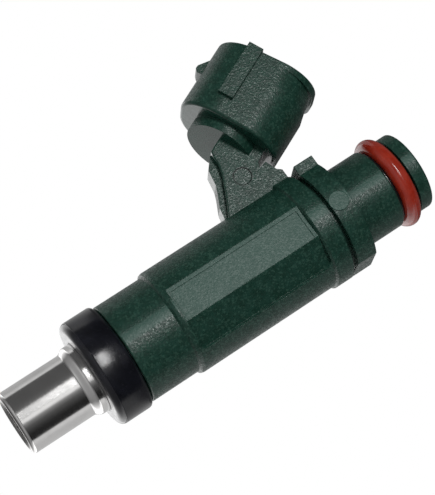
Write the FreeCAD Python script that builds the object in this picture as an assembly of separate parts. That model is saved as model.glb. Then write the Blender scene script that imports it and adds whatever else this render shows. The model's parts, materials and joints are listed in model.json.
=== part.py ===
# Top-feed electromagnetic fuel injector with a moulded plastic body and an angled two-pin connector.
# Millimetres. Heights are measured up the injector's axis from the nozzle's tip; every solid is moved
# down by origin_height when it is written, so that the origin is the middle of the lower seal ring.
# +Z points to the fuel rail, -X to the connector, and -Y is the side with the label panel.
import os
from math import cos, radians, sin, sqrt

import FreeCAD
import Part
from FreeCAD import Vector

# Clearances
fixed_gap = 0.02           # between pieces that are assembled or moulded together
slide_gap = 0.08           # radial running clearance of the valve's guides
seat_gap = 0.08            # between the closed ball and its seat
lift = 0.10                # travel of the valve
residual_gap = 0.15        # air gap that stays between armature and pole at full lift

# Magnet, the size that the body is built round
housing_radius = 6.6
housing_wall = 0.75
housing_cover = 4.0        # from the top of the housing to the end of the sleeve's flats

# Steel nozzle sleeve
nozzle_radius = 4.72
nozzle_length = 9.6
collar_radius = 5.25
shoulder_length = 2.25     # from the nozzle's shoulder to the seal ring
tip_round = 0.55
seat_pocket_radius = 3.75
armature_bore = 3.45

# Lower seal ring
seal_height = 5.25
seal_stand = 0.47          # how far the ring stands out beyond the lower body
body_gap = 0.10            # between the seal ring and the moulded body

# Moulded body, stacked up the axis
lower_body_length = 7.58
step_length = 0.75
sleeve_land = 0.29         # plain sleeve below the flats
flats_length = 21.63
clip_collar_length = 2.86
clip_groove_width = 0.78
flange_length = 3.05
neck_length = 6.64
cap_length = 1.97

# Moulded body, radii outwards from the magnet
body_wall = 0.94
sleeve_step = 0.50
clip_collar_step = 0.35
flange_step = 0.41
clip_groove_depth = 0.69
flats_relief = 0.04        # how far the corners of the flats lie inside the sleeve
flat_block_depth = 2.0     # of the blocks that cut the flats
label_half_angle = 18.6
side_flat_angle = 36.0
side_flat_sink = 0.42
panel_depth = 0.14
panel_border = 0.55
tab_half_width = 5.5

# Rail end: inlet tube, O-ring and its backup ring
inlet_radius = 3.2
inlet_tube_radius = 3.75
o_ring_inner_radius = 4.5
o_ring_section = 2.5
o_ring_play = 0.31         # spare width of the O-ring's groove
neck_step = 0.89           # how far the neck lies inside the O-ring's outside
cap_step = 1.06
backup_step = 1.15
backup_height = 0.4

# Connector, measured from its root, the edge of the sleeve at the clip collar's end:
# along towards the mouth and out away from the injector's axis
connector_tilt = 25.0
shroud_base = 1.5
shroud_length = 11.5
shroud_in = 2.65
shroud_out = 18.3
shroud_half_depth = 7.0
shroud_corner = 5.6
shroud_wall = 1.35
rim_inset = 0.55           # how far the wall steps in below the rim, on the injector's side
rim_slant = 0.5            # rise of the rim's plane from its middle to the injector's side
lip_height = 0.7           # length of the full-width lip at the rim
socket_floor = 4.3
terminal_inset = 3.6       # from the rim down to the terminals' ends
stem_radius = 5.3
stem_near = 0.1            # height of the stem's back on the label side
stem_far = -1.15           # and on the other side
arm_half_width = 3.0
mark_radius = 1.3
mark_depth = 0.18

# Valve
ball_radius = 2.0
needle_radius = 1.3
needle_bore = 0.75
spring_wire = 0.40
spring_mean_radius = 1.35
spring_turns = 9
terminal_width = 1.4
terminal_thickness = 0.5
terminal_offset = 1.8

# Derived heights of the outside
seal_bottom = nozzle_length + shoulder_length
seal_top = seal_bottom + seal_height
origin_height = seal_bottom + seal_height / 2
body_bottom = seal_top + body_gap
step_height = body_bottom + lower_body_length
flats_start = step_height + step_length + sleeve_land
flats_end = flats_start + flats_length
clip_collar_end = flats_end + clip_collar_length
flange_start = clip_collar_end + clip_groove_width
flange_end = flange_start + flange_length
neck_end = flange_end + neck_length
cap_start = neck_end + backup_height + o_ring_section + o_ring_play + 2 * fixed_gap
overall_length = cap_start + cap_length

# Derived radii of the outside
body_radius = housing_radius + body_wall
sleeve_radius = body_radius + sleeve_step
seal_radius = body_radius + seal_stand
clip_collar_radius = sleeve_radius + clip_collar_step
clip_groove_radius = sleeve_radius - clip_groove_depth
flange_radius = sleeve_radius + flange_step
flange_flat = sleeve_radius - flats_relief
flat_corner_radius = sleeve_radius - flats_relief
o_ring_outer_radius = o_ring_inner_radius + o_ring_section
groove_floor = o_ring_inner_radius - fixed_gap
neck_radius = o_ring_outer_radius - neck_step
cap_radius = o_ring_outer_radius - cap_step
backup_radius = o_ring_outer_radius - backup_step

# Derived sizes of the magnet and the valve
spigot_radius = 4.9
housing_seat = body_bottom + 0.4
housing_bottom = housing_seat + 1.6
spigot_top = housing_bottom + 1.8
housing_top = flats_end - housing_cover
armature_bottom = nozzle_length + 3.8
armature_top = spigot_top - 0.4
pole_face = armature_top + lift + residual_gap
ring_top = pole_face + 4.4
bobbin_bottom = spigot_top + 1.0
bobbin_top = housing_top - 2.5
plate_bottom = bobbin_top + 1.1
plate_top = housing_top - fixed_gap
hub_radius = 4.75
hub_bore = 4.25
tower_outer = housing_radius - housing_wall - 0.13
tower_inner = tower_outer - 1.02
orifice_bottom = 1.3
orifice_thickness = 0.3
seat_bottom = orifice_bottom + orifice_thickness
outlet_radius = 0.8
outlet_length = 0.6
guide_radius = ball_radius + slide_gap
cone_top = seat_bottom + outlet_length + guide_radius - outlet_radius
ball_height = seat_bottom + outlet_length - outlet_radius + (ball_radius + seat_gap) * sqrt(2)
seat_top = ball_height + ball_radius * 0.85
needle_bottom = ball_height + sqrt(ball_radius ** 2 - needle_radius ** 2)
needle_top = armature_bottom + 2.2
spring_bottom = needle_top + fixed_gap
spring_top = pole_face + 4.8
adjuster_top = spring_top + 7.0
filter_shoulder = flange_start + 1.6
inlet_tube_top = overall_length - 1.0
pole_radius = armature_bore - fixed_gap
pole_bore = spring_mean_radius + spring_wire / 2 + 0.2
filter_pocket_radius = inlet_tube_radius - 0.75
filter_bore = filter_pocket_radius - 0.75

# Derived places in the connector
shroud_rim = shroud_base + shroud_length
shroud_middle = (shroud_in + shroud_out) / 2
terminal_end = shroud_rim - terminal_inset

along = Vector(-sin(radians(connector_tilt)), 0, cos(radians(connector_tilt)))
out = Vector(-cos(radians(connector_tilt)), 0, -sin(radians(connector_tilt)))
connector_root = Vector(-sleeve_radius, 0, clip_collar_end)


def in_connector(a, b, y=0.0):
    """Point at a along and b out from the connector's root."""
    return connector_root + along * a + out * b + Vector(0, y, 0)


def on_arm(reach, drop):
    """Point at a reach out from the sleeve and a drop below the clip collar's end."""
    return connector_root + Vector(-reach, 0, -drop)


def cylinder(radius, bottom, top):
    return Part.makeCylinder(radius, top - bottom, Vector(0, 0, bottom))


def ring(outer, inner, bottom, top):
    return cylinder(outer, bottom, top).cut(cylinder(inner, bottom - 1, top + 1))


def torus(section, outer_radius, height):
    return Part.makeTorus(outer_radius - section / 2, section / 2, Vector(0, 0, height))


def box(x0, x1, y0, y1, z0, z1):
    return Part.makeBox(x1 - x0, y1 - y0, z1 - z0, Vector(x0, y0, z0))


def turned(outline):
    """Solid of revolution about the axis from (radius, height) points."""
    points = [Vector(r, 0, z) for r, z in outline]
    face = Part.Face(Part.makePolygon(points + [points[0]]))
    return face.revolve(Vector(0, 0, 0), Vector(0, 0, 1), 360)


def extruded(points, depth):
    """Solid between y = -depth and y = +depth over a closed outline of points in the XZ plane."""
    start = [p + Vector(0, -depth, 0) for p in points]
    face = Part.Face(Part.makePolygon(start + [start[0]]))
    return face.extrude(Vector(0, 2 * depth, 0))


def fused(shapes):
    result = shapes[0].fuse(shapes[1:]) if len(shapes) > 1 else shapes[0]
    return result.removeSplitter()


def rounded(shape, radius, wanted):
    """Shape with a fillet on each edge that wanted(edge) picks."""
    edges = [edge for edge in shape.Edges if wanted(edge)]
    return shape.makeFillet(radius, edges)


def circle_at(radius, height):
    """Test for a full circular edge of this radius and height."""
    def test(edge):
        centre = edge.BoundBox
        same_height = abs(centre.ZMin - height) < 1e-3 and abs(centre.ZMax - height) < 1e-3
        return same_height and abs(centre.XMax - radius) < 1e-3
    return test


def around(shape, count, phase=0.0):
    """Copies of a shape turned about the axis."""
    copies = []
    for index in range(count):
        copy = shape.copy()
        copy.rotate(Vector(0, 0, 0), Vector(0, 0, 1), phase + 360.0 * index / count)
        copies.append(copy)
    return copies


def section_prism(b0, b1, half_depth, corner, a0, a1):
    """Rounded-rectangle prism along the connector, from a0 to a1."""
    block = Part.makeBox(b1 - b0, 2 * half_depth, a1 - a0, Vector(b0, -half_depth, a0))
    corners = [e for e in block.Edges if abs(e.BoundBox.ZLength - (a1 - a0)) < 1e-6]
    block = block.makeFillet(corner, corners)
    block.Placement = FreeCAD.Placement(FreeCAD.Matrix(
        out.x, 0, along.x, connector_root.x,
        0, -1, 0, 0,
        out.z, 0, along.z, connector_root.z,
        0, 0, 0, 1))
    return block


def end_outline(prism, a):
    """Outline of the face of a prism that lies at height a along the connector."""
    height = in_connector(a, 0).dot(along)
    ends = [
        face for face in prism.Faces
        if all(abs(v.Point.dot(along) - height) < 1e-6 for v in face.Vertexes)]
    return ends[0].OuterWire


# ---------------------------------------------------------------- seals

def seal_ring():
    body = ring(seal_radius, collar_radius + fixed_gap, seal_bottom, seal_top)
    body = rounded(body, 1.0, circle_at(seal_radius, seal_bottom))
    body = rounded(body, 0.65, circle_at(seal_radius, seal_top))
    return rounded(body, 0.3, circle_at(collar_radius + fixed_gap, seal_bottom))


def o_ring():
    middle = neck_end + backup_height + o_ring_section / 2 + fixed_gap
    return torus(o_ring_section, o_ring_outer_radius, middle)


def backup_ring():
    washer = ring(backup_radius, groove_floor + fixed_gap, neck_end + fixed_gap, neck_end + backup_height)
    return rounded(washer, 0.25, circle_at(backup_radius, neck_end + backup_height))


# ---------------------------------------------------------------- steel nozzle and valve seat

def flare():
    """Points of the S-shaped rise from the nozzle to the collar that carries the seal ring."""
    rise = collar_radius - nozzle_radius
    length = 1.5
    steps = 12
    points = []
    for index in range(1, steps + 1):
        part = index / steps
        share = part ** 3 * (10 - 15 * part + 6 * part ** 2)
        points.append((nozzle_radius + rise * share, nozzle_length - 0.1 + length * part))
    return points


def nozzle_sleeve():
    outer = turned([
        (0, 0), (nozzle_radius, 0), (nozzle_radius, nozzle_length - 0.1)] + flare() + [
        (collar_radius, housing_seat), (housing_radius, housing_seat), (housing_radius, housing_bottom),
        (spigot_radius, housing_bottom), (spigot_radius, spigot_top), (0, spigot_top)])
    outer = rounded(outer, tip_round, circle_at(nozzle_radius, 0))
    pocket_top = seat_top + 0.9
    bore = turned([
        (0, -1), (seat_pocket_radius, -1), (seat_pocket_radius, pocket_top), (2.7, pocket_top + 0.6),
        (2.7, armature_bottom - 1.4), (armature_bore, armature_bottom - 0.7),
        (armature_bore, housing_bottom), (4.22, housing_bottom), (4.22, spigot_top + 1), (0, spigot_top + 1)])
    mouth = Part.makeCone(seat_pocket_radius + 0.3, seat_pocket_radius, 0.3, Vector(0, 0, 0))
    return outer.cut(bore).cut(mouth)


def orifice_plate():
    plate = cylinder(seat_pocket_radius - fixed_gap, orifice_bottom, seat_bottom - fixed_gap)
    hole = Part.makeCylinder(0.11, 3, Vector(0.52, 0, 0), Vector(0.12, 0, 1))
    inner = around(hole, 4, 45)
    outer = around(Part.makeCylinder(0.11, 3, Vector(0.3, 0, 0), Vector(0.05, 0, 1)), 2, 0)
    dimple = Part.makeCone(1.35, 1.15, 0.08, Vector(0, 0, orifice_bottom))
    return plate.cut(dimple).cut(Part.makeCompound(inner + outer))


def valve_seat():
    block = cylinder(seat_pocket_radius - fixed_gap, seat_bottom, seat_top)
    passage = turned([
        (0, seat_bottom - 1), (outlet_radius, seat_bottom - 1), (outlet_radius, seat_bottom + outlet_length),
        (guide_radius, cone_top), (guide_radius, seat_top - 0.5), (guide_radius + 0.5, seat_top),
        (guide_radius + 0.5, seat_top + 1), (0, seat_top + 1)])
    return block.cut(passage)


def guide_disc():
    disc = cylinder(seat_pocket_radius - fixed_gap, seat_top + fixed_gap, seat_top + 0.8)
    hole = Part.makeCylinder(needle_radius + slide_gap, 3, Vector(0, 0, seat_top - 1))
    ports = around(Part.makeCylinder(0.55, 3, Vector(2.35, 0, seat_top - 1)), 5)
    return disc.cut(Part.makeCompound([hole] + ports))


# ---------------------------------------------------------------- moving valve

def valve_ball():
    """Ball with five ground flats, which let the fuel past its guide."""
    ball = Part.makeSphere(ball_radius, Vector(0, 0, ball_height))
    low = ball_height - ball_radius * 0.35
    high = ball_height + ball_radius * 0.55
    flat = box(ball_radius * 0.87, ball_radius + 1, -3, 3, low, high)
    return ball.cut(Part.makeCompound(around(flat, 5, 36)))


def needle_tube():
    tube = ring(needle_radius, needle_bore, needle_bottom - 0.4, needle_top)
    tube = tube.cut(Part.makeSphere(ball_radius + 0.005, Vector(0, 0, ball_height)))
    port_height = (seat_top + armature_bottom) / 2 + 0.4
    port = Part.makeCylinder(0.45, 4, Vector(0, 0, port_height), Vector(1, 0, 0))
    return tube.cut(Part.makeCompound(around(port, 2, 90)))


def armature():
    body = cylinder(armature_bore - slide_gap, armature_bottom, armature_top)
    needle_hole = cylinder(needle_radius + 0.005, armature_bottom - 1, needle_top)
    pocket = cylinder(pole_bore, needle_top, armature_top + 1)
    relief = ring(armature_bore + 1, armature_bore - 0.4, armature_bottom + 1.6, armature_top - 2.2)
    channels = around(Part.makeCylinder(0.4, 20, Vector(2.4, 0, armature_bottom - 1)), 4, 45)
    return body.cut(needle_hole).cut(pocket).cut(relief).cut(Part.makeCompound(channels))


def return_spring():
    """Compression spring: an open helix with its two ends ground flat."""
    top = spring_top - fixed_gap
    pitch = (top - spring_bottom) / spring_turns
    path = Part.makeHelix(pitch, top - spring_bottom, spring_mean_radius)
    start = path.Edges[0]
    direction = start.tangentAt(start.FirstParameter)
    section = Part.makeCircle(spring_wire / 2, start.valueAt(start.FirstParameter), direction)
    coil = Part.Wire(path).makePipeShell([Part.Wire(section)], True, True)
    coil.translate(Vector(0, 0, spring_bottom))
    return coil.common(ring(spring_mean_radius + 1, spring_mean_radius - 1, spring_bottom, top))


# ---------------------------------------------------------------- fixed magnet parts

def nonmagnetic_ring():
    return ring(4.22 - fixed_gap, armature_bore, housing_bottom + fixed_gap, ring_top)


def inlet_tube():
    shoulder = ring_top + fixed_gap
    outer = turned([
        (0, pole_face), (pole_radius, pole_face), (pole_radius, shoulder), (inlet_tube_radius, shoulder),
        (inlet_tube_radius, inlet_tube_top), (0, inlet_tube_top)])
    bore = turned([
        (0, pole_face - 1), (pole_bore, pole_face - 1), (pole_bore, filter_shoulder - 1.2),
        (filter_pocket_radius, filter_shoulder), (filter_pocket_radius, inlet_tube_top + 1),
        (0, inlet_tube_top + 1)])
    return outer.cut(bore)


def adjusting_sleeve():
    tube = ring(pole_bore - fixed_gap, 0.75, spring_top, adjuster_top)
    slit = box(-0.15, 0.15, 0, 3, spring_top - 1, adjuster_top + 1)
    return tube.cut(slit)


def coil_housing():
    inner = housing_radius - housing_wall
    bottom = housing_bottom + fixed_gap
    cup = cylinder(housing_radius, bottom, housing_top)
    chamber = cylinder(inner, bottom + 1.1, housing_top + 1)
    throat = cylinder(spigot_radius + fixed_gap, bottom - 1, bottom + 2)
    window = box(-housing_radius - 1, -tower_inner, -3.2, 3.2, bobbin_top - 0.4, housing_top + 1)
    cup = rounded(cup, 0.4, circle_at(housing_radius, housing_top))
    return cup.cut(chamber).cut(throat).cut(window)


def bobbin_tower():
    """Block on the bobbin's upper flange that carries the terminals through the flux plate."""
    return box(-tower_outer, -tower_inner, -3.0, 3.0, bobbin_top - 0.4, plate_top + 0.9)


def coil_bobbin():
    flange = housing_radius - housing_wall - 0.1
    hub = ring(hub_radius, hub_bore, bobbin_bottom, bobbin_top)
    lower = ring(flange, hub_bore, bobbin_bottom, bobbin_bottom + 0.8)
    upper = ring(flange, hub_bore, bobbin_top - 0.8, bobbin_top)
    body = fused([hub, lower, upper, bobbin_tower()])
    return body.cut(Part.makeCompound([terminal(1, fixed_gap), terminal(-1, fixed_gap)]))


def coil_winding():
    outer = housing_radius - housing_wall - 0.3
    return ring(outer, hub_radius + fixed_gap, bobbin_bottom + 0.8 + fixed_gap, bobbin_top - 0.8 - fixed_gap)


def bobbin_seal_lower():
    return torus(0.84, 4.2 + fixed_gap + 0.84, spigot_top + 0.5)


def bobbin_seal_upper():
    return torus(0.84, inlet_tube_radius + fixed_gap + 0.84, bobbin_top + 0.5)


def flux_plate():
    plate_radius = housing_radius - housing_wall - fixed_gap
    plate = ring(plate_radius, inlet_tube_radius + fixed_gap, plate_bottom, plate_top)
    return plate.cut(box(-housing_radius, -tower_inner + 0.05, -3.1, 3.1, plate_bottom - 1, plate_top + 1))


# ---------------------------------------------------------------- terminals

def strip(points, thickness, y0, y1):
    """Bent flat strip: the route's points in the XZ plane, widened to a thickness, from y0 to y1."""
    left = []
    right = []
    for index, point in enumerate(points):
        before = points[max(index - 1, 0)]
        after = points[min(index + 1, len(points) - 1)]
        run_in = (point - before).normalize() if index else (after - point).normalize()
        run_out = (after - point).normalize() if index < len(points) - 1 else run_in
        mitre = (run_in + run_out).normalize()
        normal = Vector(-mitre.z, 0, mitre.x)
        reach = thickness / 2 / mitre.dot(run_in)
        left.append(point + normal * reach)
        right.append(point - normal * reach)
    outline = left + right[::-1]
    start = [p + Vector(0, y0, 0) for p in outline]
    return Part.Face(Part.makePolygon(start + [start[0]])).extrude(Vector(0, y1 - y0, 0))


def terminal(side, extra=0.0):
    """Bent blade from the bobbin's tower through the arm to the connector, grown by extra all round."""
    tower_middle = (tower_outer + tower_inner) / 2
    route = [
        Vector(-tower_middle, 0, bobbin_top - 0.2 - extra), Vector(-tower_middle, 0, housing_top + 1.4),
        in_connector(0.6, shroud_middle), in_connector(terminal_end + extra, shroud_middle)]
    inner = terminal_offset - terminal_width / 2 - extra
    outer = terminal_offset + terminal_width / 2 + extra
    thickness = terminal_thickness + 2 * extra
    if side > 0:
        return strip(route, thickness, inner, outer)
    return strip(route, thickness, -outer, -inner)


def pointed_terminal(side):
    """Terminal with its free end bevelled on both faces."""
    blade = terminal(side)
    half = terminal_thickness / 2
    bevels = []
    for face in (-1, 1):
        bevels.append(extruded([
            in_connector(terminal_end + 0.1, shroud_middle + face * (half - 0.17)),
            in_connector(terminal_end + 0.1, shroud_middle + face * (half + 0.1)),
            in_connector(terminal_end - 0.9, shroud_middle + face * (half + 0.1)),
            in_connector(terminal_end - 0.7, shroud_middle + face * half)], 5))
    return blade.cut(Part.makeCompound(bevels))


# ---------------------------------------------------------------- fuel filter

def filter_ring():
    collar = ring(filter_pocket_radius - fixed_gap, filter_bore, inlet_tube_top - 3.0, inlet_tube_top - 0.3)
    lip = ring(filter_pocket_radius + 0.35, filter_bore, inlet_tube_top + fixed_gap, inlet_tube_top + 0.3)
    stem = ring(filter_pocket_radius - fixed_gap, filter_bore, inlet_tube_top - 0.4, inlet_tube_top + 0.3)
    return fused([collar, stem, lip])


def filter_frame():
    bottom = filter_shoulder + 0.2
    top = inlet_tube_top - 0.9
    outer = filter_bore - 0.2
    inner = outer - 0.45
    band = ring(filter_bore - fixed_gap, inner + 0.1, top - 2.4, top)
    foot = Part.makeCone(inner - 0.1, outer, 0.9, Vector(0, 0, bottom))
    cage = ring(outer, inner, bottom + 0.8, top - 2.2)
    ribs = Part.makeCompound(around(box(inner - 0.4, outer + 1, -0.3, 0.3, bottom, top), 4, 45))
    hoop_height = (bottom + top) / 2 - 1.5
    hoop = ring(outer, inner, hoop_height, hoop_height + 0.5)
    return fused([band, foot, hoop] + cage.common(ribs).Solids)


def filter_mesh():
    inner = filter_bore - 0.2 + 0.01
    return ring(inner + 0.11, inner, filter_shoulder + 1.2, inlet_tube_top - 0.9 - 2.4 - fixed_gap)


# ---------------------------------------------------------------- moulded body with connector

def flat_cut(corner_angle, next_angle, next_radius):
    """Block outside the plane through two corners of the sleeve's flats, over the flats' height."""
    def corner(angle, radius):
        return Vector(-radius * sin(radians(angle)), -radius * cos(radians(angle)), flats_start)
    first = corner(corner_angle, flat_corner_radius)
    second = corner(next_angle, next_radius)
    first_far = first + Vector(first.x, first.y, 0).normalize() * flat_block_depth
    second_far = second + Vector(second.x, second.y, 0).normalize() * flat_block_depth
    face = Part.Face(Part.makePolygon([first, second, second_far, first_far, first]))
    return face.extrude(Vector(0, 0, flats_end - flats_start))


def mirrored_y(shape):
    return shape.mirror(Vector(0, 0, 0), Vector(0, 1, 0))


def sleeve_flats():
    """Label flat and the sunk flat beside it, away from the connector, on both sides of the sleeve."""
    label = flat_cut(-label_half_angle, label_half_angle, flat_corner_radius)
    edge_angle = label_half_angle + side_flat_angle
    side = flat_cut(-label_half_angle, -edge_angle, flat_corner_radius - side_flat_sink)
    near = [label, rounded_recess(side)]
    return near + [mirrored_y(shape) for shape in near]


def rounded_recess(block):
    """Recess block whose two outer corners are rounded, as a cutter leaves them."""
    ends = (block.BoundBox.ZMin, block.BoundBox.ZMax)
    far_x = block.BoundBox.XMax

    def outer_corner(edge):
        points = [v.Point for v in edge.Vertexes]
        flat = abs(points[0].z - points[1].z) < 1e-6
        at_end = min(abs(points[0].z - z) for z in ends) < 1e-6
        radial = abs(points[0].distanceToPoint(points[1]) - flat_block_depth) < 1e-3
        return flat and at_end and radial and max(p.x for p in points) > far_x - 1e-3

    return rounded(block, 1.1, outer_corner)


def label_panel():
    apothem = flat_corner_radius * cos(radians(label_half_angle))
    half = flat_corner_radius * sin(radians(label_half_angle))
    near = box(-half + panel_border, half, -apothem - 1, -apothem + panel_depth,
               flats_start + 0.3, flats_end - panel_border)
    return [near, mirrored_y(near)]


def body_outline():
    profile = turned([
        (0, body_bottom), (body_radius, body_bottom), (body_radius, step_height),
        (sleeve_radius - 0.12, step_height + 0.4 * step_length), (sleeve_radius, step_height + step_length),
        (sleeve_radius, flats_end), (clip_collar_radius, flats_end + 0.25),
        (clip_collar_radius, clip_collar_end), (0, clip_collar_end)])
    return rounded(profile, 0.28, circle_at(body_radius, body_bottom))


def flange():
    disc = cylinder(flange_radius, flange_start, flange_end)
    disc = disc.cut(box(flange_flat, 20, -20, 20, 0, 100))
    tab = box(-flange_flat, 0, -tab_half_width, tab_half_width, flange_start, flange_end)
    disc = disc.cut(box(-20, -flange_flat, -20, 20, 0, 100)).fuse(tab)
    pad_centre = Vector(0.2, -flange_radius + 0.95, flange_start + 1.35)
    pad = Part.makeCylinder(1.4, 1.0, pad_centre, Vector(0, -1, 0))
    return disc.fuse([pad, mirrored_y(pad)]).removeSplitter()


def rail_end():
    foot = Part.makeCone(neck_radius + 0.25, neck_radius, 0.6, Vector(0, 0, flange_end))
    neck = cylinder(neck_radius, flange_start, neck_end)
    neck = rounded(neck, 0.2, circle_at(neck_radius, neck_end))
    groove = cylinder(groove_floor, neck_end, cap_start)
    cap = cylinder(cap_radius, cap_start, overall_length)
    cap = rounded(cap, 0.25, circle_at(cap_radius, overall_length))
    link = cylinder(clip_groove_radius, clip_collar_end, flange_start)
    return [foot, neck, groove, cap, link]


def arm():
    """Web that carries the terminals from the sleeve out to the connector's back."""
    web = extruded([
        on_arm(-4.0, 11.3), on_arm(-0.3, 10.25), on_arm(1.45, 9.3), on_arm(3.25, 8.4), on_arm(5.3, 7.45),
        on_arm(6.75, 7.0), on_arm(8.05, 7.0), on_arm(8.9, 6.8), on_arm(9.1, 6.4),
        in_connector(shroud_base + 0.8, 10.95), in_connector(shroud_base + 0.8, 4.7),
        on_arm(3.95, 2.2), on_arm(3.05, 2.55), on_arm(3.4, 1.3), on_arm(1.7, 0.65), on_arm(1.15, 0.0),
        on_arm(-4.0, 0.0)], arm_half_width)
    web = rounded(web, 0.22, on_arm_face)
    keel = extruded([
        on_arm(-2.0, 11.0), on_arm(1.55, 10.3), on_arm(3.65, 9.25), on_arm(4.75, 8.8), on_arm(7.05, 8.4),
        on_arm(8.75, 7.0), on_arm(9.1, 5.6), on_arm(2.0, 6.3)], arm_half_width - 1.3)
    return [web, keel]


def in_arm_terms(point):
    offset = connector_root - point
    return offset.x, offset.z


def on_arm_face(edge):
    """Long edges around the web's two side faces, on the side towards the nozzle."""
    ends = [v.Point for v in edge.Vertexes]
    on_face = all(abs(abs(p.y) - arm_half_width) < 1e-3 for p in ends)
    lies_flat = abs(ends[0].y - ends[-1].y) < 1e-3
    reaches = [in_arm_terms(p) for p in ends]
    low_side = min(drop for reach, drop in reaches) > 3.8 and max(reach for reach, drop in reaches) > -0.4
    return on_face and lies_flat and low_side


def connector_stem():
    """Round stem behind the shroud, cut off at a slant."""
    stem = Part.makeCylinder(stem_radius, 6.0, in_connector(shroud_base - 5.5, shroud_middle), along)
    slope = (stem_near - stem_far) / (2 * stem_radius)
    edge = 8.0
    middle = (stem_near + stem_far) / 2
    corners = [
        in_connector(middle + slope * edge, 0, -edge), in_connector(middle - slope * edge, 0, edge),
        in_connector(middle - 7.0, 0, edge), in_connector(middle - 7.0, 0, -edge)]
    below = Part.Face(Part.makePolygon(corners + [corners[0]])).extrude(out * (shroud_out + 4))
    return stem.cut(below)


def in_plane(a):
    """Test for edges that lie across the connector at height a."""
    height = in_connector(a, 0).dot(along)

    def test(edge):
        return all(abs(v.Point.dot(along) - height) < 1e-3 for v in edge.Vertexes)
    return test


def rim_height(b):
    """Height of the slanted rim at a distance out."""
    return shroud_rim - rim_slant * 2 * (b - shroud_middle) / (shroud_out - shroud_in)


def above_rim():
    """Block over the rim's plane."""
    low, high = shroud_in - 2, shroud_out + 2
    return extruded([
        in_connector(rim_height(low), low), in_connector(rim_height(high), high),
        in_connector(shroud_rim + 4, high), in_connector(shroud_rim + 4, low)], shroud_half_depth + 1)


def on_rim(edge):
    """Edges that lie in the rim's plane."""
    for vertex in edge.Vertexes:
        offset = vertex.Point - connector_root
        if abs(offset.dot(along) - rim_height(offset.dot(out))) > 1e-3:
            return False
    return True


def shroud():
    """Oval tube that narrows towards its rim on the injector's side, with a side rib and a latch ramp."""
    taper_start = shroud_rim - 3.6
    taper_end = shroud_rim - 1.2
    lip_start = shroud_rim - lip_height
    depth, corner = shroud_half_depth, shroud_corner
    lower = section_prism(shroud_in, shroud_out, depth, corner, shroud_base, taper_start)
    upper = section_prism(shroud_in + rim_inset, shroud_out, depth, corner, taper_end, lip_start)
    lip = section_prism(shroud_in + 0.1, shroud_out, depth, corner, lip_start, shroud_rim + rim_slant)
    taper = Part.makeLoft([end_outline(lower, taper_start), end_outline(upper, taper_end)], True)
    lower = rounded(lower, 0.5, in_plane(shroud_base))
    lip = rounded(lip.cut(above_rim()), 0.2, on_rim)
    rib = extruded([
        in_connector(shroud_base + 2.8, 11.68), in_connector(shroud_base + 2.8, 13.93),
        in_connector(shroud_rim, 13.93), in_connector(shroud_rim, 11.68)],
        shroud_half_depth + 0.75)
    latch_height = shroud_base + 6.1
    latch = extruded([
        in_connector(latch_height + 0.1, shroud_out - 1),
        in_connector(latch_height, shroud_out + 0.75),
        in_connector(latch_height + 0.5, shroud_out + 1.2),
        in_connector(latch_height + 1.0, shroud_out + 1.15),
        in_connector(latch_height + 2.5, shroud_out + 0.1),
        in_connector(latch_height + 2.5, shroud_out - 1)], 1.6)
    return [lower, taper, upper, lip, rib, latch]


def socket():
    """Hollow of the connector with a stepped rib down each side wall."""
    hollow = section_prism(
        shroud_in + rim_inset + shroud_wall, shroud_out - shroud_wall, shroud_half_depth - shroud_wall,
        shroud_corner - shroud_wall, socket_floor, shroud_rim + 3)
    rib = section_prism(9.38, 11.68, shroud_half_depth, 0.2, socket_floor - 1, shroud_rim - 2.0)
    core = section_prism(-6, 34, shroud_half_depth - shroud_wall - 0.6, 0.2, -9, shroud_rim + 9)
    return hollow.cut(rib.cut(core))


def ejector_marks():
    centre = on_arm(3.4, 5.24) + Vector(0, -arm_half_width + mark_depth, 0)
    arm_mark = Part.makeCylinder(mark_radius, 1.0, centre, Vector(0, -1, 0))
    return [arm_mark, mirrored_y(arm_mark)]


def metal_space():
    """Room inside the moulding for the magnet, the inlet tube and the terminals."""
    g = fixed_gap
    stack = turned([
        (0, 0), (collar_radius + g, 0), (collar_radius + g, housing_seat - g),
        (housing_radius + g, housing_seat - g), (housing_radius + g, housing_top + g),
        (inlet_tube_radius + g, housing_top + g), (inlet_tube_radius + g, inlet_tube_top + 0.32),
        (inlet_radius, inlet_tube_top + 0.32), (inlet_radius + 0.35, overall_length + 0.01),
        (0, overall_length + 0.01)])
    tower = box(-tower_outer - g, -tower_inner + g, -3.0 - g, 3.0 + g, bobbin_top, plate_top + 0.9 + g)
    return [stack, tower, terminal(1, g), terminal(-1, g)]


def overmould():
    outside = [body_outline().cut(Part.makeCompound(sleeve_flats()))]
    outside += rail_end() + [flange()] + arm() + [connector_stem()] + shroud()
    body = outside[0].fuse(outside[1:])
    for hollow in label_panel() + ejector_marks() + [socket()] + metal_space():
        body = body.cut(hollow)
    return body.removeSplitter()


def save(name, shape):
    solids = shape.Solids
    if not solids or not shape.isValid():
        raise ValueError(name + " is not a valid solid")
    placed = solids[0].copy() if len(solids) == 1 else Part.makeCompound(solids)
    placed.translate(Vector(0, 0, -origin_height))
    placed.exportStep(os.path.join("parts", name + ".step"))
    print(name, len(solids), round(placed.Volume, 2))


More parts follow.
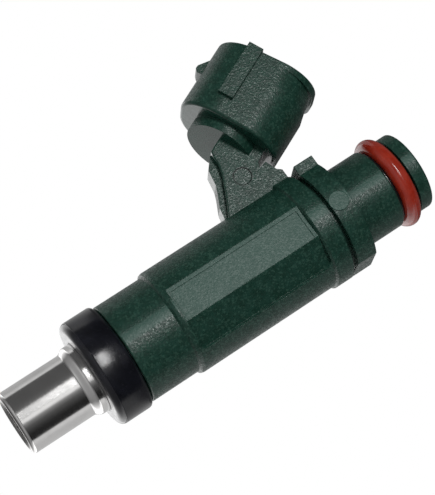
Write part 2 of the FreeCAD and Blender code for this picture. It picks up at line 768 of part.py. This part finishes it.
def main():
    os.makedirs("parts", exist_ok=True)
    pieces = {
        "overmould_body": overmould,
        "lower_seal_ring": seal_ring,
        "rail_o_ring": o_ring,
        "backup_ring": backup_ring,
        "nozzle_sleeve": nozzle_sleeve,
        "orifice_plate": orifice_plate,
        "valve_seat": valve_seat,
        "guide_disc": guide_disc,
        "valve_ball": valve_ball,
        "needle_tube": needle_tube,
        "armature": armature,
        "return_spring": return_spring,
        "nonmagnetic_ring": nonmagnetic_ring,
        "inlet_tube": inlet_tube,
        "adjusting_sleeve": adjusting_sleeve,
        "coil_housing": coil_housing,
        "coil_bobbin": coil_bobbin,
        "coil_winding": coil_winding,
        "bobbin_seal_lower": bobbin_seal_lower,
        "bobbin_seal_upper": bobbin_seal_upper,
        "flux_plate": flux_plate,
        "filter_ring": filter_ring,
        "filter_frame": filter_frame,
        "filter_mesh": filter_mesh,
    }
    for name, make in pieces.items():
        save(name, make())
    save("terminal_left", pointed_terminal(-1))
    save("terminal_right", pointed_terminal(1))


main()
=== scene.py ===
"""Looks of the fuel injector: materials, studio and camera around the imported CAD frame."""
import json
from math import cos, pi, radians, sin

import bpy
from mathutils import Matrix, Vector


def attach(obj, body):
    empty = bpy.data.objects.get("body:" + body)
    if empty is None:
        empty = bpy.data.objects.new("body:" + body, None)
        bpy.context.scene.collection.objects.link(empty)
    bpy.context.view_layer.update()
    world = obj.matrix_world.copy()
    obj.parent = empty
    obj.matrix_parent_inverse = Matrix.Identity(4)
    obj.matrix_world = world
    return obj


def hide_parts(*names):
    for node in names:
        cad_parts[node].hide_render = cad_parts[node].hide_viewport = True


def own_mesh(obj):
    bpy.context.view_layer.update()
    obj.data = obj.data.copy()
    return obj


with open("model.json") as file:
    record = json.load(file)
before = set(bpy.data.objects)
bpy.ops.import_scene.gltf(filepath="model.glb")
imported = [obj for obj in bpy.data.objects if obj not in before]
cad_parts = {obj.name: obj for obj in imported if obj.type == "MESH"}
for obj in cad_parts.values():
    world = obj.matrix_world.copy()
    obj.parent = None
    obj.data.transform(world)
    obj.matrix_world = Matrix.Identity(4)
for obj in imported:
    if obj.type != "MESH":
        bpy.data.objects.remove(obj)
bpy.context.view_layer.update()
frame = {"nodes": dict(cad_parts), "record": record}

MM = 0.001
TIP = -14.475                       # height of the nozzle's tip, in millimetres

# Places on the injector that the finishes follow
o_ring_height = (62.45 + TIP) * MM
seal_ring_height = -1.72 * MM
seal_ring_half = 2.6 * MM
arm_mark_x = -11.44 * MM
arm_mark_z = 30.595 * MM
arm_mark_radius = 1.3 * MM
panel_half_width = 4.25 * MM
sleeve_side = -7.9 * MM             # X of the sleeve's side towards the connector
shaded_end_length = 1.0                  # millimetres of the nozzle's end that is darkened as painted shade


# ---------------------------------------------------------------- node helpers

class Tree:
    """The node tree of a material or world, with a short call for each kind of node it needs."""

    def __init__(self, owner):
        owner.use_nodes = True
        self.nodes = owner.node_tree.nodes
        self.links = owner.node_tree.links

    def put(self, socket, value):
        if isinstance(value, bpy.types.NodeSocket):
            self.links.new(value, socket)
        else:
            socket.default_value = value

    def math(self, kind, a, b=0.0):
        node = self.nodes.new("ShaderNodeMath")
        node.operation = kind
        self.put(node.inputs[0], a)
        self.put(node.inputs[1], b)
        return node.outputs[0]

    def times(self, a, b):
        return self.math("MULTIPLY", a, b)

    def plus(self, a, b):
        return self.math("ADD", a, b)

    def without(self, a, share=1.0):
        """1 where a is 0, falling by share where a is 1."""
        return self.math("SUBTRACT", 1.0, a if share == 1.0 else self.times(a, share))

    def distance(self, a, b):
        return self.math("ABSOLUTE", self.math("SUBTRACT", a, b))

    def spread(self, value, low, high, to_low=0.0, to_high=1.0):
        """Value mapped from low..high to to_low..to_high, and clamped."""
        node = self.nodes.new("ShaderNodeMapRange")
        self.put(node.inputs["Value"], value)
        node.inputs["From Min"].default_value = low
        node.inputs["From Max"].default_value = high
        node.inputs["To Min"].default_value = to_low
        node.inputs["To Max"].default_value = to_high
        return node.outputs["Result"]

    def blend(self, factor, first, second):
        node = self.nodes.new("ShaderNodeMix")
        node.data_type = "RGBA"
        self.put(node.inputs["Factor"], factor)
        self.put(node.inputs["A"], first)
        self.put(node.inputs["B"], second)
        return node.outputs["Result"]

    def along(self, vector, axis):
        node = self.nodes.new("ShaderNodeSeparateXYZ")
        self.links.new(vector, node.inputs["Vector"])
        return node.outputs[axis]


class Shader(Tree):
    """A material with a Principled BSDF."""

    def __init__(self, name):
        self.material = bpy.data.materials.new(name)
        super().__init__(self.material)
        self.bsdf = self.nodes["Principled BSDF"]
        self.coords = self.nodes.new("ShaderNodeTexCoord").outputs["Object"]

    def set(self, name, value):
        self.put(self.bsdf.inputs[name], value)

    def scaled(self, x, y, z):
        """Object coordinates stretched by a factor along each axis."""
        node = self.nodes.new("ShaderNodeMapping")
        node.inputs["Scale"].default_value = (x, y, z)
        self.links.new(self.coords, node.inputs["Vector"])
        return node.outputs["Vector"]

    def noise(self, size, detail=3.0, roughness=0.55, vector=None):
        """Noise whose features are about size metres across."""
        node = self.nodes.new("ShaderNodeTexNoise")
        self.put(node.inputs["Vector"], self.coords if vector is None else vector)
        node.inputs["Scale"].default_value = 1.0 / size
        node.inputs["Detail"].default_value = detail
        node.inputs["Roughness"].default_value = roughness
        return node.outputs["Fac"]

    def cells(self, size, output="Distance"):
        """Cells about size across: distance from each middle, or with Color one value for each."""
        node = self.nodes.new("ShaderNodeTexVoronoi")
        self.links.new(self.coords, node.inputs["Vector"])
        node.inputs["Scale"].default_value = 1.0 / size
        return node.outputs[output]

    def place(self, axis):
        """The surface's X, Y or Z, in metres."""
        return self.along(self.coords, axis)

    def facing(self, direction):
        """How squarely the surface faces a direction, as a cosine."""
        node = self.nodes.new("ShaderNodeVectorMath")
        node.operation = "DOT_PRODUCT"
        self.links.new(self.nodes.new("ShaderNodeTexCoord").outputs["Normal"], node.inputs[0])
        node.inputs[1].default_value = direction
        return node.outputs["Value"]

    def soft_edge(self, radius):
        """Normal that rounds every edge by radius."""
        node = self.nodes.new("ShaderNodeBevel")
        node.samples = 6
        node.inputs["Radius"].default_value = radius
        return node.outputs["Normal"]

    def bump(self, height, depth, normal=None):
        """Normal of a relief: height 0..1 stands for 0..depth metres."""
        node = self.nodes.new("ShaderNodeBump")
        node.inputs["Strength"].default_value = 1.0
        node.inputs["Distance"].default_value = depth
        self.put(node.inputs["Height"], height)
        if normal is not None:
            self.links.new(normal, node.inputs["Normal"])
        return node.outputs["Normal"]


def rgb(red, green, blue):
    """Scene-linear colour from display values of 0 to 255."""
    def linear(value):
        value /= 255.0
        return value / 12.92 if value <= 0.04045 else ((value + 0.055) / 1.055) ** 2.4
    return (linear(red), linear(green), linear(blue), 1.0)


def grey(value):
    return (value, value, value, 1.0)


# ---------------------------------------------------------------- materials

down = (0.0, 0.0, -1.0)


def on_label_panel(s):
    """1 on the two flats that carry the label panels, and 0 elsewhere."""
    flat = s.spread(s.math("ABSOLUTE", s.facing((0.0, 1.0, 0.0))), 0.992, 0.998)
    from_axis = s.math("ABSOLUTE", s.place("X"))
    edge = 0.05 * MM
    near_axis = s.spread(from_axis, panel_half_width - edge, panel_half_width + edge, 1.0, 0.0)
    return s.times(flat, near_axis)


def from_arm_mark(s):
    """Distance from the axis of the round ejector mark on the connector's arm."""
    across = s.math("SUBTRACT", s.place("X"), arm_mark_x)
    up = s.math("SUBTRACT", s.place("Z"), arm_mark_z)
    return s.math("SQRT", s.plus(s.times(across, across), s.times(up, up)))


def on_underside(s):
    """1 on the connector's faces that look down, which come from a polished part of the mould."""
    beyond_sleeve = s.spread(s.place("X"), sleeve_side - 0.3 * MM, sleeve_side + 0.3 * MM, 1.0, 0.0)
    return s.times(s.spread(s.facing(down), 0.50, 0.70), beyond_sleeve)


def green_plastic():
    """Moulded nylon with a spark-eroded grain: facets that glint, light specks as painted glints,
    and painted shade in the hollows between the facets.
    """
    s = Shader("green_plastic")
    grain = s.noise(0.19 * MM, 2.0, 0.6)
    facets = s.cells(0.30 * MM)
    chance = s.cells(0.24 * MM, "Color")
    cloud = s.noise(1.1 * MM, 4.0, 0.65)
    panel = on_label_panel(s)
    mark = from_arm_mark(s)
    disc = s.spread(mark, arm_mark_radius - 0.15 * MM, arm_mark_radius - 0.05 * MM, 0.35, 0.0)
    groove = s.spread(s.distance(mark, arm_mark_radius), 0.05 * MM, 0.16 * MM, 1.0, 0.0)
    smooth = s.math("MAXIMUM", on_underside(s), disc)
    rough = s.without(smooth, 0.985)

    base = s.blend(s.spread(cloud, 0.38, 0.62), rgb(22, 53, 43), rgb(29, 63, 53))
    # painted glints: light specks in the base colour stand for the grain's sparkle
    sparkle_speck = s.times(s.spread(chance, 0.66, 0.74), rough)
    base = s.blend(s.times(sparkle_speck, 0.10), base, rgb(120, 160, 142))
    # painted shade: the grain's hollows are darkened
    hollow_shade = s.times(s.spread(grain, 0.28, 0.42, 1.0, 0.0), rough)
    base = s.blend(s.times(hollow_shade, 0.6), base, rgb(9, 25, 20))
    base = s.blend(s.times(panel, 0.75), base, rgb(36, 80, 68))
    # painted shade: a dark ring in the groove round the ejector mark
    base = s.blend(s.times(groove, 0.8), base, rgb(6, 16, 13))
    s.set("Base Color", base)

    glint = s.times(s.spread(chance, 0.30, 0.70, 0.43, 0.25), s.without(panel, 0.65))
    glint = s.plus(glint, s.times(panel, 0.26))
    s.set("Roughness", s.math("SUBTRACT", glint, s.times(smooth, 0.18)))
    s.set("Specular IOR Level", 0.27)

    relief = s.plus(s.times(grain, 0.6), s.times(facets, 0.5))
    relief = s.times(s.times(relief, rough), s.without(panel, 0.45))
    s.set("Normal", s.bump(relief, 0.036 * MM, s.soft_edge(0.09 * MM)))
    return s.material


def parting_line(s, height, half_width):
    """1 on a thin ring round the axis at this height, and 0 away from it."""
    return s.spread(s.distance(s.place("Z"), height), half_width * 0.3, half_width, 1.0, 0.0)


def black_rubber():
    """Glossy moulded rubber, with a parting ridge round the middle of a slightly crowned face."""
    s = Shader("black_rubber")
    bloom = s.noise(2.2 * MM, 4.0)
    streak = s.noise(0.5 * MM, 3.0, vector=s.scaled(1, 1, 5))
    dust = s.spread(s.noise(0.18 * MM, 2.0), 0.66, 0.74)
    base = s.blend(s.spread(bloom, 0.4, 0.7), rgb(17, 18, 23), rgb(27, 28, 35))
    s.set("Base Color", s.blend(s.times(dust, 0.25), base, rgb(96, 98, 104)))
    s.set("Roughness", s.spread(streak, 0.35, 0.7, 0.13, 0.24))
    s.set("Specular IOR Level", 0.4)
    ridge = parting_line(s, seal_ring_height, 0.07 * MM)
    height = s.plus(s.plus(s.times(streak, 0.25), s.times(bloom, 0.25)), ridge)
    relief = s.bump(height, 0.03 * MM, s.soft_edge(0.08 * MM))
    away = s.times(s.math("SUBTRACT", s.place("Z"), seal_ring_height), 1.0 / seal_ring_half)
    s.set("Normal", s.bump(s.without(s.times(away, away)), 0.22 * MM, relief))
    return s.material


def red_rubber():
    """Satin rubber with a fine line of flash round the outside of the O-ring."""
    s = Shader("red_rubber")
    bloom = s.noise(1.6 * MM, 4.0)
    fine = s.noise(0.15 * MM, 2.0)
    dust = s.spread(s.noise(0.22 * MM, 2.0), 0.67, 0.75)
    base = s.blend(s.spread(bloom, 0.35, 0.7), rgb(150, 38, 23), rgb(170, 52, 33))
    s.set("Base Color", s.blend(s.times(dust, 0.2), base, rgb(214, 150, 130)))
    s.set("Roughness", s.spread(bloom, 0.3, 0.7, 0.16, 0.26))
    flash = parting_line(s, o_ring_height, 0.05 * MM)
    s.set("Normal", s.bump(s.plus(s.plus(bloom, s.times(fine, 0.2)), flash), 0.012 * MM))
    return s.material


def on_shaded_end(s):
    """1 on the nozzle's down-facing end face, which is darkened as painted shade, and 0 elsewhere.
    """
    near_tip = s.spread(
        s.place("Z"), (TIP + shaded_end_length - 0.2) * MM, (TIP + shaded_end_length + 0.2) * MM, 1.0, 0.0)
    return s.times(s.spread(s.facing(down), 0.45, 0.8), near_tip)


def steel(name, tint, low, high, turn_depth=0.004, turn_size=0.05, shaded_end=False):
    """Turned steel: rings round the axis, stain, scratches, and painted shade on the end face if
    asked.
    """
    s = Shader(name)
    rings = s.noise(turn_size * MM, 3.0, 0.7, s.scaled(0.02, 0.02, 1.0))
    stain = s.noise(2.5 * MM, 4.0)
    scratch = s.spread(s.noise(0.25 * MM, 2.0, vector=s.scaled(1.0, 1.0, 0.12)), 0.66, 0.72)
    stained = tuple(share * 0.86 for share in tint[:3]) + (1.0,)
    base = s.blend(s.spread(stain, 0.35, 0.75), tint, stained)
    if shaded_end:
        # painted shade: the nozzle's down-facing end face is darkened
        base = s.blend(s.times(on_shaded_end(s), 0.9), base, rgb(62, 58, 56))
    s.set("Base Color", base)
    s.set("Metallic", 1.0)
    worn = s.plus(s.plus(rings, s.times(stain, 0.6)), s.times(scratch, 0.25))
    s.set("Roughness", s.spread(worn, 0.5, 1.1, low, high))
    s.set("Normal", s.bump(rings, turn_depth * MM, s.soft_edge(0.08 * MM)))
    return s.material


def plain_plastic(name, dark, light, low, high):
    """Plastic between two shades, with a fine grain and a roughness from low to high."""
    s = Shader(name)
    cloud = s.noise(1.5 * MM, 3.0)
    grain = s.noise(0.2 * MM, 2.0)
    s.set("Base Color", s.blend(s.spread(cloud, 0.35, 0.7), dark, light))
    s.set("Roughness", s.spread(grain, 0.3, 0.7, low, high))
    s.set("Normal", s.bump(grain, 0.02 * MM, s.soft_edge(0.06 * MM)))
    return s.material


def copper_wire():
    s = Shader("copper_wire")
    shade = s.noise(0.8 * MM, 3.0)
    s.set("Base Color", s.blend(shade, rgb(150, 70, 30), rgb(196, 104, 52)))
    s.set("Metallic", 1.0)
    s.set("Roughness", s.spread(shade, 0.3, 0.7, 0.18, 0.34))
    return s.material


def make_materials():
    steels = {
        "bright_steel": (rgb(222, 221, 220), 0.09, 0.18, 0.002, 0.05, True),
        "etched_steel": (rgb(104, 102, 100), 0.25, 0.4, 0.002),
        "ground_steel": (rgb(206, 206, 210), 0.15, 0.3),
        "magnet_steel": (rgb(190, 190, 192), 0.25, 0.42, 0.008, 0.12),
        "spring_steel": (rgb(170, 172, 176), 0.2, 0.35, 0.003),
        "zinc_steel": (rgb(198, 200, 208), 0.28, 0.44, 0.006, 0.2),
        "filter_brass": (rgb(206, 170, 96), 0.2, 0.36, 0.004),
        "filter_gauze": (rgb(180, 180, 182), 0.3, 0.45),
        "tinned_contact": (rgb(214, 212, 204), 0.2, 0.36, 0.003),
    }
    plastics = {
        "black_plastic": (rgb(16, 16, 17), rgb(26, 26, 28), 0.10, 0.22),
        "bobbin_plastic": (rgb(28, 28, 28), rgb(42, 42, 42), 0.4, 0.6),
        "filter_plastic": (rgb(196, 186, 160), rgb(214, 206, 184), 0.35, 0.5),
    }
    materials = {
        "green_plastic": green_plastic(),
        "black_rubber": black_rubber(),
        "red_rubber": red_rubber(),
        "copper_wire": copper_wire(),
    }
    for name, finish in steels.items():
        materials[name] = steel(name, *finish)
    for name, finish in plastics.items():
        materials[name] = plain_plastic(name, *finish)
    return materials


sharp_angle = radians(32)


def dress_cad_nodes(materials):
    """Gives every CAD node its slot's material, with smooth faces and crisp edges."""
    for entry in frame["record"]["subparts"]:
        node = frame["nodes"][entry["node"]]
        node.data.materials.clear()
        node.data.materials.append(materials[entry["material_slot"]])
        node.data.shade_smooth()
        node.data.set_sharp_from_angle(angle=sharp_angle)


# ---------------------------------------------------------------- pieces in place of simple solids

def add_piece(name, vertices, faces, material, node):
    """New mesh piece that stands for a CAD node and takes its slot's finish."""
    mesh = bpy.data.meshes.new(name)
    mesh.from_pydata(vertices, [], faces)
    mesh.materials.append(material)
    mesh.shade_smooth()
    piece = bpy.data.objects.new(name, mesh)
    bpy.context.scene.collection.objects.link(piece)
    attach(piece, "injector")
    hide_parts(node)
    return piece


def tube(path, radius, sides, closed=False):
    """Vertices and faces of a round wire along a path, with flat ends unless it is closed."""
    vertices = []
    faces = []
    count = len(path)
    for index, point in enumerate(path):
        before = path[index - 1] if closed or index else path[0]
        after = path[(index + 1) % count] if closed or index < count - 1 else path[-1]
        run = (after - before).normalized()
        side = run.cross(Vector((0, 0, 1)))
        if side.length < 1e-3:
            side = run.cross(Vector((point.x, point.y, 0)))
        side.normalize()
        lift = side.cross(run)
        for step in range(sides):
            angle = 2 * pi * step / sides
            vertices.append(point + side * (radius * cos(angle)) + lift * (radius * sin(angle)))
    for index in range(count if closed else count - 1):
        here = index * sides
        there = ((index + 1) % count) * sides
        for step in range(sides):
            other = (step + 1) % sides
            faces.append((here + step, here + other, there + other, there + step))
    if not closed:
        faces.append(tuple(reversed(range(sides))))
        faces.append(tuple((count - 1) * sides + step for step in range(sides)))
    return vertices, faces


def joined(parts):
    vertices = []
    faces = []
    for part_vertices, part_faces in parts:
        start = len(vertices)
        vertices += part_vertices
        faces += [tuple(start + index for index in face) for face in part_faces]
    return vertices, faces


def return_spring(materials):
    """Spring with one closed and ground turn at each end."""
    bottom = (15.62 + TIP) * MM
    top = (25.63 + TIP) * MM
    wire = 0.20 * MM
    mean = 1.35 * MM
    turns = 9.5
    closed_turns = 1.15
    closed_pitch = 2.05 * wire
    ground = 0.8 * wire                 # from a ground end to the middle of its wire
    coiled = top - bottom - 2 * ground - 2 * closed_turns * closed_pitch
    open_pitch = coiled / (turns - 2 * closed_turns)
    steps = 40
    path = []
    height = bottom + ground
    for index in range(int(turns * steps) + 1):
        turn = index / steps
        path.append(Vector((mean * cos(2 * pi * turn), mean * sin(2 * pi * turn), height)))
        from_end = min(turn, turns - turn)
        share = min(max((from_end - closed_turns + 0.25) / 0.5, 0.0), 1.0)
        height += (closed_pitch + (open_pitch - closed_pitch) * share) / steps
    vertices, faces = tube(path, wire, 14)
    vertices = [Vector((v.x, v.y, min(max(v.z, bottom), top))) for v in vertices]
    piece = add_piece(
        "spring_coil", vertices, faces, materials["spring_steel"], "return_spring")
    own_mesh(piece)


def coil_winding(materials):
    """Outer layer of the winding: a helix of touching turns, closed over the inner layers."""
    inner = 4.77 * MM
    outer = 5.55 * MM
    bottom = (22.72 + TIP) * MM
    top = (40.13 + TIP) * MM
    wire = 0.17 * MM
    around = 96
    across = 6
    groove = 0.96                       # how far down a wire's side the next one touches it
    turns = int((top - bottom) / (2 * wire)) - 1
    pitch = (top - bottom) / (turns + 1)
    vertices = []
    rows = turns * across + 1
    for row in range(rows):
        for column in range(around):
            angle = 2 * pi * column / around
            part = (row % across) / across
            offset = (2 * part - 1) * groove
            radius = outer - wire + wire * (1 - offset * offset) ** 0.5
            height = bottom + (row / across + column / around) * pitch
            vertices.append(Vector((radius * cos(angle), radius * sin(angle), min(height, top))))
    rings = [(outer - wire, top), (inner, top), (inner, bottom), (outer - wire, bottom)]
    for radius, height in rings:
        for column in range(around):
            angle = 2 * pi * column / around
            vertices.append(Vector((radius * cos(angle), radius * sin(angle), height)))
    faces = []
    total = rows + len(rings)
    for row in range(total):
        for column in range(around):
            after = (column + 1) % around
            seam = after == 0
            low, high = row * around, ((row + 1) % total) * around
            inside = row < rows - 1
            if seam and inside:
                shift = across * around
                if row + across + 1 < rows:
                    faces.append((low + column, low + shift, high + shift, high + column))
                continue
            faces.append((low + column, low + after, high + after, high + column))
    add_piece(
        "winding_turns", vertices, faces, materials["copper_wire"], "coil_winding")


def filter_gauze(materials):
    """Woven tube of fine wires: upright wires and hoops that pass over and under each other."""
    radius = 2.12 * MM
    bottom = (53.95 + TIP) * MM
    top = (61.6 + TIP) * MM
    wire = 0.028 * MM
    sway = 0.032 * MM
    uprights = 44
    hoops = 26
    wire_sides = 5
    parts = []
    for index in range(uprights):
        angle = 2 * pi * index / uprights
        path = []
        for step in range(2 * hoops + 1):
            side = 0 if step % 2 else (1 if (step // 2 + index) % 2 else -1)
            reach = radius + side * sway
            height = bottom + wire + (top - bottom - 2 * wire) * step / (2 * hoops)
            path.append(Vector((reach * cos(angle), reach * sin(angle), height)))
        parts.append(tube(path, wire, wire_sides))
    for hoop in range(1, hoops):
        height = bottom + wire + (top - bottom - 2 * wire) * hoop / hoops
        path = []
        for step in range(2 * uprights):
            angle = pi * step / uprights
            side = 0 if step % 2 else (-1 if (hoop + step // 2) % 2 else 1)
            reach = radius + side * sway
            path.append(Vector((reach * cos(angle), reach * sin(angle), height)))
        parts.append(tube(path, wire, wire_sides, True))
    vertices, faces = joined(parts)
    add_piece(
        "gauze_weave", vertices, faces, materials["filter_gauze"], "filter_mesh")


# ---------------------------------------------------------------- studio and camera

camera_place = Vector((48.96, -224.57, -30.785)) * MM
camera_right = Vector((0.56953, -0.05611, 0.82005))
camera_up = Vector((-0.78925, -0.31606, 0.52650))
camera_back = Vector((0.22965, -0.94709, -0.22429))
lens = 123.7

# Softbox: azimuth from -Y towards +X and elevation in degrees, then metres and watts
lit_point = Vector((0, 0, 0.018))
key_azimuth = -1.7
key_elevation = 13.2
key_distance = 0.60
key_width = 0.26
key_height = 0.10
key_power = 1.75

# Brightness of the room, as azimuth and value: level with the object, and below it
level_stops = [
    (-180, 0.5), (-110, 0.5), (-92, 0.8), (-86, 0.10), (-40, 0.10), (-18, 0.12), (-13, 0.6),
    (11, 0.6), (14, 1.0), (21, 1.0), (28, 0.28), (42, 0.10), (56, 0.05), (68, 0.02), (91, 0.02),
    (96, 0.8), (120, 0.6), (180, 0.6)]
low_stops = [
    (-180, 0.8), (-100, 0.8), (-80, 0.12), (0, 0.05), (80, 0.05), (100, 0.7), (180, 0.8)]
# Sines of elevation: the room is as below the object up to low_end, and as level from level_start;
# the walls end at wall_top, and the ceiling starts at ceiling_start
low_end = -0.25
level_start = 0.0
wall_top = 0.28
ceiling_start = 0.36
ceiling_share = 0.22                # the ceiling's brightness, as a share of the walls'
soft_level = 0.19                   # what dull surfaces receive from all sides

# Floor: half its side, and its height; its glow for light and reflections starts behind the
# object and is full at glow_full, and the camera sees the even floor_seen
floor_half = 6.0
floor_height = -0.17
glow_start = 0.05
glow_full = 0.40
floor_glow = 1.5
floor_seen = 0.62


def make_camera():
    data = bpy.data.cameras.new("camera")
    data.lens = lens
    data.sensor_width = 36
    data.clip_start = 0.01
    camera = bpy.data.objects.new("camera", data)
    axes = Matrix((camera_right, camera_up, camera_back)).transposed().to_4x4()
    camera.matrix_world = Matrix.Translation(camera_place) @ axes
    bpy.context.scene.collection.objects.link(camera)
    bpy.context.scene.camera = camera


def make_key_light():
    data = bpy.data.lights.new("key", "AREA")
    data.shape = "RECTANGLE"
    data.size = key_width
    data.size_y = key_height
    data.energy = key_power
    light = bpy.data.objects.new("key", data)
    azimuth, elevation = radians(key_azimuth), radians(key_elevation)
    direction = Vector((
        sin(azimuth) * cos(elevation), -cos(azimuth) * cos(elevation), sin(elevation)))
    light.location = lit_point + direction * key_distance
    light.rotation_euler = direction.to_track_quat("Z", "Y").to_euler()
    bpy.context.scene.collection.objects.link(light)


def by_azimuth(room, turn, stops):
    """Grey by azimuth: stops are degrees, positive towards +X, and brightness."""
    ramp = room.nodes.new("ShaderNodeValToRGB")
    room.links.new(room.spread(turn, -pi, pi), ramp.inputs["Fac"])
    elements = ramp.color_ramp.elements
    while len(elements) > 1:
        elements.remove(elements[-1])
    for index, (azimuth, value) in enumerate(stops):
        position = (azimuth + 180) / 360
        stop = elements[0] if index == 0 else elements.new(position)
        stop.position = position
        stop.color = grey(value)
    return ramp.outputs["Color"]


def make_world():
    """Reflections see a dim room with bright strips; the camera sees plain white past the floor."""
    world = bpy.data.worlds.new("studio")
    room = Tree(world)
    direction = room.nodes.new("ShaderNodeTexCoord").outputs["Generated"]
    up = room.along(direction, "Z")
    forward = room.times(room.along(direction, "Y"), -1.0)
    turn = room.math("ARCTAN2", room.along(direction, "X"), forward)
    level = by_azimuth(room, turn, level_stops)
    low = by_azimuth(room, turn, low_stops)
    walls = room.blend(room.spread(up, low_end, level_start), low, level)
    share = room.spread(up, wall_top, ceiling_start, 1.0, ceiling_share)
    light = room.blend(share, grey(0.0), walls)
    path = room.nodes.new("ShaderNodeLightPath").outputs
    light = room.blend(path["Is Diffuse Ray"], light, grey(soft_level))
    light = room.blend(path["Is Camera Ray"], light, grey(1.0))
    room.put(room.nodes["Background"].inputs["Color"], light)
    bpy.context.scene.world = world


def make_floor():
    """Pale paper, lit evenly for the camera, and brighter behind the object for everything else."""
    mesh = bpy.data.meshes.new("floor")
    corners = [
        (-floor_half, -floor_half, floor_height), (floor_half, -floor_half, floor_height),
        (floor_half, floor_half, floor_height), (-floor_half, floor_half, floor_height)]
    mesh.from_pydata(corners, [], [(0, 1, 2, 3)])
    floor = bpy.data.objects.new("floor", mesh)
    bpy.context.scene.collection.objects.link(floor)
    s = Shader("floor_paper")
    fibre = s.noise(1.2 * MM, 4.0)
    s.set("Base Color", s.blend(fibre, grey(0.80), grey(0.84)))
    s.set("Roughness", s.spread(fibre, 0.3, 0.7, 0.75, 0.9))
    s.set("Emission Color", grey(1.0))
    glow = s.spread(s.place("Y"), glow_start, glow_full, 0.0, floor_glow)
    seen = s.nodes.new("ShaderNodeLightPath").outputs["Is Camera Ray"]
    glow = s.plus(s.times(glow, s.without(seen)), s.times(seen, floor_seen))
    s.set("Emission Strength", glow)
    mesh.materials.append(s.material)


def main():
    materials = make_materials()
    dress_cad_nodes(materials)
    make_camera()
    make_world()
    make_floor()
    return_spring(materials)
    coil_winding(materials)
    filter_gauze(materials)
    make_key_light()
    bpy.context.scene.view_settings.view_transform = "Standard"


main()
